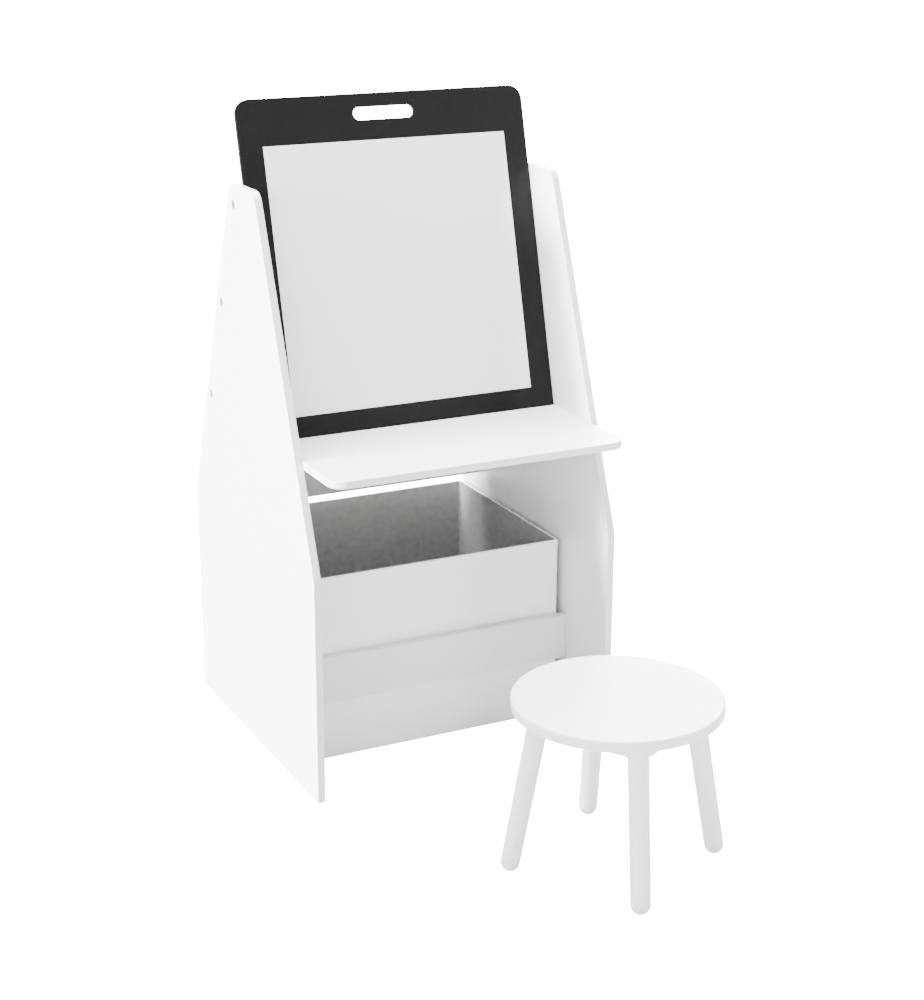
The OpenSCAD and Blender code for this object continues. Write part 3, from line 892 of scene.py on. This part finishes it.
@dataclass
class EaselFrame:
    """Side panels, desk, rail, stretcher, cross rods and their fittings."""

    shop: Workshop
    edge_radius: float = 1.0 * MM
    desk_edge_radius: float = 2.0 * MM
    rail_edge_radius: float = 1.5 * MM
    rod_steps: int = 64
    rod_chamfer: float = 0.8 * MM
    bolt_head_radius: float = 6.75 * MM
    bolt_head_height: float = 2.4 * MM
    bolt_edge: float = 0.5 * MM
    bolt_shank_radius: float = 3.0 * MM
    bolt_length: float = 42.0 * MM
    bolt_sink: float = 0.1 * MM
    key_width: float = 4.0 * MM
    key_depth: float = 1.6 * MM
    rods: tuple[str, ...] = ("top_cross_rod", "middle_cross_rod", "lower_cross_rod")

    def build(self) -> None:
        """Builds the boards, rods and bolts, and dresses the hidden fittings."""
        radii = {
            "left_side_panel": self.edge_radius,
            "right_side_panel": self.edge_radius,
            "rear_stretcher": self.edge_radius,
            "desk_top": self.desk_edge_radius,
            "front_rail": self.rail_edge_radius,
        }
        for node, radius in radii.items():
            mesh = self.shop.eased(node, radius)
            self.shop.finish(node + "_eased", mesh, Body.FRAME, Slot.WHITE_LACQUER, [node])
        for node in self.rods:
            self.shop.finish(node + "_turned", self.rod(node), Body.FRAME, Slot.PAINTED_ROD, [node])
        self.shop.finish("rod_end_bolts_set", self.bolts(), Body.FRAME, Slot.ZINC_STEEL, ["rod_end_bolts"])
        self.shop.dress_node("rod_thread_inserts", Slot.BRASS)
        self.shop.dress_node("cam_bolts", Slot.ZINC_STEEL)
        self.shop.dress_node("cam_locks", Slot.ZINC_CAST)
        self.shop.dress_node("alignment_dowels", Slot.BARE_BEECH)

    def rod(self, node: str) -> BMesh:
        """Builds a round cross rod in a CAD rod's place.

        Args:
            node: The CAD rod.

        Returns:
            The rod, with chamfered ends.
        """
        low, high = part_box(node)
        centre = (low + high) / 2
        length = high.x - low.x
        radius = (high.z - low.z) / 2
        mesh = start_mesh()
        bmesh.ops.create_cone(
            mesh,
            cap_ends=True,
            segments=self.rod_steps,
            radius1=radius,
            radius2=radius,
            depth=length,
            matrix=Matrix.Translation(centre) @ Matrix.Rotation(math.pi / 2, 4, "Y"),
        )
        ease_edges(mesh, sharp_edges(mesh, RIM_ANGLE), self.rod_chamfer, 2)
        return mesh

    def bolts(self) -> BMesh:
        """Builds the six flat-headed bolts, one at each end of each rod.

        Returns:
            The bolts.
        """
        joined = bmesh.new()
        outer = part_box("right_side_panel")[1].x
        for node in self.rods:
            low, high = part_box(node)
            centre = (low + high) / 2
            for side in (-1, 1):
                face = Vector((side * (outer - self.bolt_sink), centre.y, centre.z))
                turn = Matrix.Rotation(side * math.pi / 2, 4, "Y")
                self.add_bolt(joined, Matrix.Translation(face) @ turn)
        return joined

    def add_bolt(self, mesh: BMesh, place: Matrix) -> None:
        """Adds one bolt, whose head's face is at the origin of its place and looks along +Z.

        Args:
            mesh: The mesh to add it to.
            place: Where it goes.
        """
        before = set(mesh.verts)
        key = bmesh.ops.create_circle(mesh, segments=6, radius=self.key_width / 2 / math.cos(math.pi / 6))
        key_edges = list(dict.fromkeys(edge for vert in key["verts"] for edge in vert.link_edges))
        rim = bmesh.ops.create_circle(mesh, segments=48, radius=self.bolt_head_radius - self.bolt_edge)
        rim_edges = list(dict.fromkeys(edge for vert in rim["verts"] for edge in vert.link_edges))
        bmesh.ops.bridge_loops(mesh, edges=key_edges + rim_edges)
        self.extend(mesh, key_edges, -self.key_depth, 1.0, close=True)
        wide = self.bolt_head_radius / (self.bolt_head_radius - self.bolt_edge)
        shoulder = self.extend(mesh, rim_edges, -self.bolt_edge, wide)
        skirt = self.extend(mesh, shoulder, self.bolt_edge - self.bolt_head_height, 1.0)
        neck = self.extend(mesh, skirt, 0.0, self.bolt_shank_radius / self.bolt_head_radius)
        self.extend(mesh, neck, self.bolt_head_height - self.bolt_length, 1.0, close=True)
        added = [vert for vert in mesh.verts if vert not in before]
        faces = list(dict.fromkeys(face for vert in added for face in vert.link_faces))
        bmesh.ops.recalc_face_normals(mesh, faces=faces)
        bmesh.ops.transform(mesh, matrix=place, verts=added)

    @staticmethod
    def extend(
        mesh: BMesh,
        edges: Sequence[BMEdge],
        rise: float,
        widen: float,
        close: bool = False,
    ) -> list[BMEdge]:
        """Extrudes a closed loop of edges along Z and widens it about the Z axis.

        Args:
            mesh: The mesh that the loop belongs to.
            edges: The loop.
            rise: How far it moves along Z.
            widen: How many times wider it gets.
            close: True to fill the new loop.

        Returns:
            The new loop's edges.
        """
        verts, rim = extruded(mesh, edges)
        matrix = Matrix.Translation((0.0, 0.0, rise)) @ Matrix.Diagonal((widen, widen, 1.0, 1.0))
        bmesh.ops.transform(mesh, matrix=matrix, verts=verts)
        if close:
            bmesh.ops.contextual_create(mesh, geom=rim)
        return rim


@dataclass
class DrawingBoard:
    """The lift-off board: a black panel with a white face in front and a slate face behind."""

    shop: Workshop
    edge_radius: float = 1.2 * MM
    face_edge_radius: float = 0.35 * MM

    def build(self) -> None:
        """Builds the panel and its two writing faces."""
        panel = self.shop.eased("board_panel", self.edge_radius)
        self.shop.finish("board_panel_eased", panel, Body.BOARD, Slot.BLACK_LACQUER, ["board_panel"])
        faces = {"whiteboard_sheet": Slot.WHITEBOARD_FACE, "chalkboard_sheet": Slot.CHALKBOARD_FACE}
        for node, slot in faces.items():
            sheet = self.shop.eased(node, self.face_edge_radius, 2)
            self.shop.finish(node + "_eased", sheet, Body.BOARD, slot, [node])


@dataclass
class StorageBin:
    """A fabric bin: sewn cover over stiff boards, folded hem, corner bindings, stitches and lining."""

    shop: Workshop
    corner_radius: float = 3.0 * MM
    foot_radius: float = 2.5 * MM
    hem_height: float = 11.0 * MM
    hem_proud: float = 0.8 * MM
    hem_inset: float = 3.0 * MM
    hem_roll: float = 1.1 * MM
    hem_tuck: float = 6.0 * MM
    wall: float = 4.2 * MM
    inner_radius: float = 3.0 * MM
    floor_height: float = 4.8 * MM
    levels: int = 22
    bow: float = 0.45 * MM
    ripple: float = 0.22 * MM
    lining_bow: float = 1.4 * MM
    lining_ripple: float = 0.7 * MM
    binding_width: float = 10.0 * MM
    binding_proud: float = 0.5 * MM
    stitch_pitch: float = 4.6 * MM
    stitch_length: float = 3.2 * MM
    stitch_radius: float = 0.32 * MM
    stitch_drop: float = 2.2 * MM
    stitch_sink: float = 0.05 * MM
    row_foot: float = 8.0 * MM
    row_gap: float = 3.0 * MM
    cover_drop: float = 0.6 * MM
    cover_thickness: float = 1.0 * MM
    lining_drop: float = 1.2 * MM
    lining_thickness: float = 0.5 * MM
    wall_reach: float = 0.97
    corner_reach: float = 0.985
    slack_power: float = 0.7
    waves_across: float = 9.0
    waves_up: float = 14.0
    cover_seed: float = 3.1
    lining_seed: float = 8.7
    lining_gap: float = 0.2 * MM
    lining_turn: float = 0.5 * MM
    hem_gap: float = 0.3 * MM
    hem_lip: float = 0.6 * MM
    hem_lip_share: float = 0.7
    binding_step: float = 15.0
    binding_share: float = 0.9
    low: Vector = field(init=False)
    high: Vector = field(init=False)

    def build(self) -> None:
        """Builds the cover, hem, bindings, stitches and lining, and dresses the stiff boards."""
        self.low, self.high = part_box("bin_wall_boards")
        margin = Vector((MM, MM, 0.0))
        self.low, self.high = self.low - margin, self.high + margin
        self.low.z, self.high.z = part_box("bin_cover")[0].z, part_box("bin_cover")[1].z
        body, cloth = Body.BIN, Slot.BIN_FABRIC
        self.shop.finish("bin_outer_cover", self.cover(), body, cloth, ["bin_cover"])
        self.shop.finish("bin_folded_hem", self.hem(), body, cloth)
        self.shop.finish("bin_corner_bindings", self.bindings(), body, cloth)
        self.shop.finish("bin_stitches", self.stitches(), body, cloth)
        self.shop.finish("bin_inner_lining", self.lining(), body, Slot.BIN_LINING, ["bin_lining"])
        self.shop.dress_node("bin_wall_boards", Slot.GREY_CARD)
        self.shop.dress_node("bin_base_board", Slot.GREY_CARD)

    def soften(self, mesh: BMesh, bow: float, ripple: float, seed: float) -> None:
        """Draws the walls in between their corners and lets the cloth ripple a little.

        Args:
            mesh: The cover or the lining.
            bow: How far the middle of a wall comes in.
            ripple: Height of the cloth's ripples.
            seed: Picks the ripples.
        """
        centre = (self.low + self.high) / 2
        half = (self.high - self.low) / 2
        for vert in mesh.verts:
            x, y, z = vert.co
            across, along = (x - centre.x) / half.x, (y - centre.y) / half.y
            up = (z - self.low.z) / (2 * half.z)
            slack = math.sin(math.pi * min(1.0, max(0.0, up))) ** self.slack_power
            spot = Vector((x * self.waves_across + seed, y * self.waves_across, z * self.waves_up))
            wave = noise.noise(spot)
            for axis, offset, span in ((0, across, along), (1, along, across)):
                if abs(offset) > self.wall_reach and abs(span) < self.corner_reach:
                    share = (1.0 - span * span) * slack
                    vert.co[axis] -= math.copysign(bow * share + ripple * wave * share, offset)

    def wall_rings(self, inset: float, low: float, high: float, radius: float) -> list[Ring]:
        """Lists the rings of a straight wall above its foot."""
        steps = range(1, self.levels + 1)
        return [Ring(inset, low + (high - low) * step / self.levels, radius) for step in steps]

    def cover(self) -> BMesh:
        """Builds the sewn cover: four walls and a floor.

        Returns:
            The closed shell.
        """
        loft = BoxLoft(self.low, self.high)
        foot, corner, low = self.foot_radius, self.corner_radius, self.low.z
        rings = [Ring(foot, low, corner)]
        rings += [Ring(foot - reach, low + foot - rise, corner) for reach, rise in arc(foot, 60, 0, 2)]
        rings += self.wall_rings(0.0, low + foot, self.high.z - self.cover_drop, corner)
        mesh = loft.loft(rings)
        loft.close(0)
        self.soften(mesh, self.bow, self.ripple, self.cover_seed)
        bmesh.ops.recalc_face_normals(mesh, faces=mesh.faces)
        bmesh.ops.solidify(mesh, geom=list(mesh.faces), thickness=self.cover_thickness)
        bmesh.ops.recalc_face_normals(mesh, faces=mesh.faces)
        return mesh

    def hem(self) -> BMesh:
        """Builds the folded hem, which wraps over the rim and down inside.

        Returns:
            The closed band.
        """
        loft = BoxLoft(self.low, self.high)
        corner, top, proud = self.corner_radius, self.high.z, self.hem_proud
        middle, half = (self.hem_inset - proud) / 2, (self.hem_inset + proud) / 2
        skirt = top - self.hem_height
        rings = [
            Ring(self.hem_gap, skirt + 0.5 * MM, corner),
            Ring(-proud * self.hem_lip_share, skirt, corner),
            Ring(-proud, skirt + self.hem_lip, corner),
        ]
        for reach, rise in arc(1.0, 180, 0, 8):
            rings.append(Ring(middle + half * reach, top + self.hem_roll * (rise - 1), corner))
        rings.append(Ring(self.hem_inset, top - self.hem_tuck, corner))
        mesh = loft.loft(rings)
        bmesh.ops.bridge_loops(mesh, edges=loft.rings[-1] + loft.rings[0])
        bmesh.ops.recalc_face_normals(mesh, faces=mesh.faces)
        return mesh

    def bindings(self) -> BMesh:
        """Builds the strips that bind the four upright corners.

        Returns:
            The strips.
        """
        joined = bmesh.new()
        bottom = self.low.z + self.foot_radius + MM
        height = self.high.z - self.hem_height - bottom + MM
        proud, reach, turn = self.binding_proud, self.binding_width, self.corner_radius
        path = [(reach, -proud), (turn, -proud)]
        for angle in (math.radians(self.binding_step * step) for step in range(1, 6)):
            path.append((turn - (turn + proud) * math.sin(angle), turn - (turn + proud) * math.cos(angle)))
        path += [(-proud, turn), (-proud, reach)]
        ends = {-1: self.low, 1: self.high}
        for side_x, side_y in ((-1, -1), (1, -1), (1, 1), (-1, 1)):
            corner = Vector((ends[side_x].x, ends[side_y].y, bottom))
            verts = [joined.verts.new(corner + Vector((-side_x * x, -side_y * y, 0.0))) for x, y in path]
            strip = [joined.edges.new(pair) for pair in zip(verts, verts[1:])]
            for _ in range(self.levels):
                risen, strip = extruded(joined, strip)
                bmesh.ops.translate(joined, verts=risen, vec=(0.0, 0.0, height / self.levels))
        centre = (self.low + self.high) / 2
        for face in joined.faces:
            face.normal_update()
            if face.normal.dot(face.calc_center_median() - centre) < 0:
                face.normal_flip()
        thickness = proud * self.binding_share
        bmesh.ops.solidify(joined, geom=list(joined.faces), thickness=thickness)
        bmesh.ops.recalc_face_normals(joined, faces=joined.faces)
        return joined

    def stitches(self) -> BMesh:
        """Builds the rows of stitches along the hem and down the bindings.

        Returns:
            The stitches.
        """
        low, high, corner = self.low, self.high, self.corner_radius
        z = high.z - self.hem_height + self.stitch_drop
        off = self.hem_proud - self.stitch_sink
        rows = []
        for y in (low.y - off, high.y + off):
            rows.append(((low.x + corner, y, z), (high.x - corner, y, z)))
        for x in (low.x - off, high.x + off):
            rows.append(((x, low.y + corner, z), (x, high.y - corner, z)))
        inset = self.binding_width - self.stitch_drop
        out = self.binding_proud - self.stitch_sink
        foot, top = low.z + self.row_foot, high.z - self.hem_height - self.row_gap
        for x in (low.x + inset, high.x - inset):
            rows += [((x, y, foot), (x, y, top)) for y in (low.y - out, high.y + out)]
        for y in (low.y + inset, high.y - inset):
            rows += [((x, y, foot), (x, y, top)) for x in (low.x - out, high.x + out)]
        joined = bmesh.new()
        for start, end in rows:
            self.add_row(joined, Vector(start), Vector(end))
        return joined

    def add_row(self, mesh: BMesh, start: Vector, end: Vector) -> None:
        """Adds one straight row of stitches.

        Args:
            mesh: The mesh to add them to.
            start: The row's start.
            end: Its end.
        """
        way = (end - start).normalized()
        count = int((end - start).length / self.stitch_pitch)
        turn = way.to_track_quat("Z", "Y").to_matrix().to_4x4()
        shape = Matrix.Diagonal((self.stitch_radius, self.stitch_radius, self.stitch_length / 2, 1.0))
        place = Matrix.Translation(start + way * (self.stitch_pitch / 2)) @ turn @ shape
        made = bmesh.ops.create_uvsphere(mesh, u_segments=6, v_segments=4, radius=1.0, matrix=place)
        first = made["verts"]
        edges = dict.fromkeys(edge for vert in first for edge in vert.link_edges)
        faces = dict.fromkeys(face for vert in first for face in vert.link_faces)
        bmesh.ops.spin(
            mesh,
            geom=[*first, *edges, *faces],
            cent=(0.0, 0.0, 0.0),
            axis=(0.0, 0.0, 1.0),
            dvec=way * self.stitch_pitch,
            angle=0.0,
            steps=count - 1,
            use_duplicate=True,
        )

    def lining(self) -> BMesh:
        """Builds the lining: loose walls and a floor that lies on the base board.

        Returns:
            The closed shell.
        """
        loft = BoxLoft(self.low, self.high)
        floor, wall, turn = self.low.z + self.floor_height, self.wall, self.inner_radius
        top = self.high.z - self.lining_drop
        round_in = turn + 1.0 * MM
        rings = [Ring(wall + turn, floor, round_in)]
        for reach, rise in arc(turn, 60, 0, 3):
            rings.append(Ring(wall + turn - reach, floor + turn - rise, round_in))
        rings += self.wall_rings(wall - self.lining_gap, floor + turn, top, round_in)
        rings.append(Ring(wall - self.lining_turn, top + self.lining_turn, turn))
        rings.append(Ring(self.hem_inset, top + self.lining_gap, turn))
        mesh = loft.loft(rings)
        loft.close(0)
        self.soften(mesh, self.lining_bow, self.lining_ripple, self.lining_seed)
        bmesh.ops.recalc_face_normals(mesh, faces=mesh.faces)
        bmesh.ops.reverse_faces(mesh, faces=mesh.faces)
        bmesh.ops.solidify(mesh, geom=list(mesh.faces), thickness=self.lining_thickness)
        bmesh.ops.recalc_face_normals(mesh, faces=mesh.faces)
        return mesh


@dataclass
class Stool:
    """Round seat on a rounded square plate, with four splayed round legs."""

    shop: Workshop
    seat_edge_radius: float = 3.5 * MM
    seat_steps: int = 128
    plate_edge_radius: float = 2.0 * MM
    leg_steps: int = 48
    leg_foot_radius: float = 13.7 * MM
    leg_top_radius: float = 14.5 * MM
    leg_foot_out: float = 147.0 * MM
    leg_top_out: float = 108.0 * MM
    first_leg_turn: float = -106.1

    def build(self) -> None:
        """Builds the seat, plate and legs, and dresses the fittings."""
        body, paint = Body.STOOL, Slot.STOOL_LACQUER
        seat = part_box("stool_seat")
        self.shop.finish("stool_seat_turned", self.seat(*seat), body, paint, ["stool_seat"])
        plate = self.shop.eased("stool_under_plate", self.plate_edge_radius)
        self.shop.finish("stool_plate_eased", plate, body, paint, ["stool_under_plate"])
        centre = (seat[0] + seat[1]) / 2
        for number, side in enumerate(("front", "right", "back", "left")):
            mesh = self.leg(centre, seat[0].z, self.first_leg_turn + 90 * number)
            self.shop.finish(f"stool_leg_{side}_turned", mesh, body, paint, [f"stool_leg_{side}"])
        for node in ("stool_leg_bolts", "stool_seat_screws"):
            self.shop.dress_node(node, Slot.ZINC_STEEL)
        self.shop.dress_node("stool_insert_nuts", Slot.BRASS)

    def seat(self, low: Vector, high: Vector) -> BMesh:
        """Turns the seat, with rounded edges above and below.

        Args:
            low: The CAD seat's lowest corner.
            high: Its highest corner.

        Returns:
            The seat.
        """
        radius, thick = (high.x - low.x) / 2, high.z - low.z
        mesh = turned([(0.0, 0.0), (radius, 0.0), (radius, thick), (0.0, thick)], self.seat_steps)
        ease_edges(mesh, sharp_edges(mesh, RIM_ANGLE), self.seat_edge_radius, 6)
        centre = (low + high) / 2
        bmesh.ops.translate(mesh, verts=mesh.verts, vec=(centre.x, centre.y, low.z))
        return mesh

    def leg(self, centre: Vector, seat_low: float, turn: float) -> BMesh:
        """Turns one leg with a ball end and cuts it level under the plate.

        Args:
            centre: The seat's centre.
            seat_low: Height of the seat's underside.
            turn: The leg's bearing about the stool's axis, in degrees.

        Returns:
            The leg.
        """
        foot, top = self.leg_foot_radius, self.leg_top_radius
        rise = seat_low - foot
        lean = math.atan2(self.leg_foot_out - self.leg_top_out, rise)
        length = rise / math.cos(lean)
        profile = arc(foot, -90, 0, 10)
        profile += [(foot + (top - foot) * step / 4, length * step / 4) for step in range(1, 5)]
        mesh = turned([*profile, (0.0, length)], self.leg_steps)
        place = (
            Matrix.Translation((centre.x, centre.y, foot))
            @ Matrix.Rotation(math.radians(turn), 4, "Z")
            @ Matrix.Translation((self.leg_foot_out, 0.0, 0.0))
            @ Matrix.Rotation(-lean, 4, "Y")
        )
        bmesh.ops.transform(mesh, matrix=place, verts=mesh.verts)
        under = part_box("stool_under_plate")[0].z
        cut = bmesh.ops.bisect_plane(
            mesh,
            geom=[*mesh.verts, *mesh.edges, *mesh.faces],
            dist=0.001 * MM,
            plane_co=(0.0, 0.0, under),
            plane_no=(0.0, 0.0, 1.0),
            clear_outer=True,
        )
        rim = [part for part in cut["geom_cut"] if isinstance(part, BMEdge)]
        bmesh.ops.contextual_create(mesh, geom=rim)
        bmesh.ops.recalc_face_normals(mesh, faces=mesh.faces)
        return mesh


# Studio


@dataclass(frozen=True)
class SoftLight:
    """A square area light that looks at a point."""

    name: str
    place: tuple[float, float, float]
    size: float
    watts: float
    aim: Triple = (0.0, -0.1, 0.45)
    only_gloss: bool = False

    def hang(self) -> None:
        """Adds the light to the scene."""
        data = bpy.data.lights.new(self.name, "AREA")
        data.shape = "SQUARE"
        data.size = self.size
        data.energy = self.watts
        light = bpy.data.objects.new(self.name, data)
        bpy.context.scene.collection.objects.link(light)
        light.location = self.place
        way = Vector(self.aim) - Vector(self.place)
        light.rotation_mode = "QUATERNION"
        light.rotation_quaternion = way.to_track_quat("-Z", "Y")
        light.visible_diffuse = not self.only_gloss


@dataclass
class Studio:
    """Plain floor, soft lights and the camera."""

    azimuth: float = -26.61
    elevation: float = 18.31
    roll: float = 0.24
    camera_place: Triple = (-1.2613, -2.7412, 1.3638)
    sensor: float = 36.0
    lens: float = 72.03
    floor_size: float = 60.0
    floor_colour: tuple[float, float, float, float] = (0.5, 0.5, 0.5, 1.0)
    floor_roughness: float = 0.9
    floor_glow: float = 22.0
    backdrop_strength: float = 18.0
    sky_strength: float = 0.35
    flag_place: Triple = (-1.0, -0.95, 0.5)
    flag_size: tuple[float, float] = (1.36, 1.0)
    lights: tuple[SoftLight, ...] = (
        SoftLight("left_key", (-4.5, 0.2, 1.6), 0.8, 2000.0),
        SoftLight("back_top_key", (1.5, 2.2, 4.2), 3.0, 1080.0),
        SoftLight("top_key", (-1.0, 0.2, 4.4), 3.0, 920.0),
        SoftLight("left_front_fill", (-3.4, -3.8, 1.3), 2.2, 460.0),
        SoftLight("right_front_fill", (4.4, -2.9, 1.4), 2.2, 320.0),
        SoftLight("rear_fill", (3.5, 3.0, 2.2), 3.0, 80.0),
        SoftLight("gloss_card", (2.9, 5.0, 2.3), 5.0, 1400.0, only_gloss=True),
    )

    def build(self) -> None:
        """Lays the floor, hangs the lights and sets the camera."""
        self.lay_floor()
        self.hang_flag()
        self.light_sky()
        for light in self.lights:
            light.hang()
        self.set_camera()

    @staticmethod
    def stage_sheet(name: str, place: Matrix) -> Object:
        """Adds a flat sheet that belongs to the studio.

        Args:
            name: The sheet's name.
            place: Where a sheet of one square metre goes.

        Returns:
            The sheet.
        """
        mesh = bmesh.new()
        bmesh.ops.create_grid(mesh, x_segments=1, y_segments=1, size=0.5, matrix=place)
        data = bpy.data.meshes.new(name)
        mesh.to_mesh(data)
        mesh.free()
        sheet = bpy.data.objects.new(name, data)
        bpy.context.scene.collection.objects.link(sheet)
        return sheet

    def lay_floor(self) -> None:
        """Lays a plain pale floor that glows only towards the camera."""
        place = Matrix.Diagonal((self.floor_size, self.floor_size, 1.0, 1.0))
        floor = self.stage_sheet("studio_floor", place)
        material = bpy.data.materials.new("studio_floor")
        material.use_nodes = True
        graph = Graph(material.node_tree)
        seen = graph.add("ShaderNodeLightPath").outputs["Is Camera Ray"]
        look = {
            "Base Color": self.floor_colour,
            "Roughness": self.floor_roughness,
            "Specular IOR Level": 0.0,
            "Emission Color": (1.0, 1.0, 1.0, 1.0),
            "Emission Strength": graph.math("MULTIPLY", seen, self.floor_glow),
        }
        shader = graph.add("ShaderNodeBsdfPrincipled", look).outputs[0]
        graph.add("ShaderNodeOutputMaterial", {"Surface": shader})
        floor.data.materials.append(material)

    def hang_flag(self) -> None:
        """Hangs an unseen upright card that keeps the left key light off the stool."""
        place = (
            Matrix.Translation(self.flag_place)
            @ Matrix.Rotation(math.pi / 2, 4, "Y")
            @ Matrix.Diagonal((self.flag_size[1], self.flag_size[0], 1.0, 1.0))
        )
        flag = self.stage_sheet("studio_flag", place)
        flag.visible_camera = False
        flag.visible_glossy = False

    def light_sky(self) -> None:
        """Gives the room an even white light, with a white background behind the floor's far edge."""
        world = bpy.data.worlds.new("studio")
        bpy.context.scene.world = world
        world.use_nodes = True
        graph = Graph(world.node_tree)
        seen = graph.add("ShaderNodeLightPath").outputs["Is Camera Ray"]
        strength = graph.spread(seen, 0.0, 1.0, self.sky_strength, self.backdrop_strength)
        sky = graph.add("ShaderNodeBackground", {"Color": (1.0, 1.0, 1.0, 1.0), "Strength": strength})
        graph.add("ShaderNodeOutputWorld", {"Surface": sky.outputs[0]})

    def set_camera(self) -> None:
        """Sets the camera from its bearing, its height, its roll and its place."""
        data = bpy.data.cameras.new("camera")
        data.sensor_width = self.sensor
        data.lens = self.lens
        data.clip_end = 2 * self.floor_size
        camera = bpy.data.objects.new("camera", data)
        bpy.context.scene.collection.objects.link(camera)
        turn, tilt = math.radians(self.azimuth), math.radians(self.elevation)
        back = Vector((math.sin(turn) * math.cos(tilt), -math.cos(turn) * math.cos(tilt), math.sin(tilt)))
        right = Vector((math.cos(turn), math.sin(turn), 0.0))
        up = back.cross(right)
        level = Matrix((right, up, back)).transposed().to_4x4()
        camera.matrix_world = (
            Matrix.Translation(self.camera_place) @ level @ Matrix.Rotation(math.radians(self.roll), 4, "Z")
        )
        bpy.context.scene.camera = camera


def clear_start_scene() -> None:
    """Removes whatever the start file holds."""
    for thing in list(bpy.data.objects):
        bpy.data.objects.remove(thing)


def main() -> None:
    """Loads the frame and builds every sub-assembly."""
    logging.basicConfig(level=logging.INFO, format="%(name)s: %(message)s")
    clear_start_scene()
    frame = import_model()
    Studio().build()
    shop = Workshop(frame, Palette())
    for assembly in (EaselFrame(shop), DrawingBoard(shop), StorageBin(shop), Stool(shop)):
        assembly.build()
        log.info("%s is done", type(assembly).__name__)
    log.info("%d new pieces", shop.count)


if __name__ == "__main__":
    main()
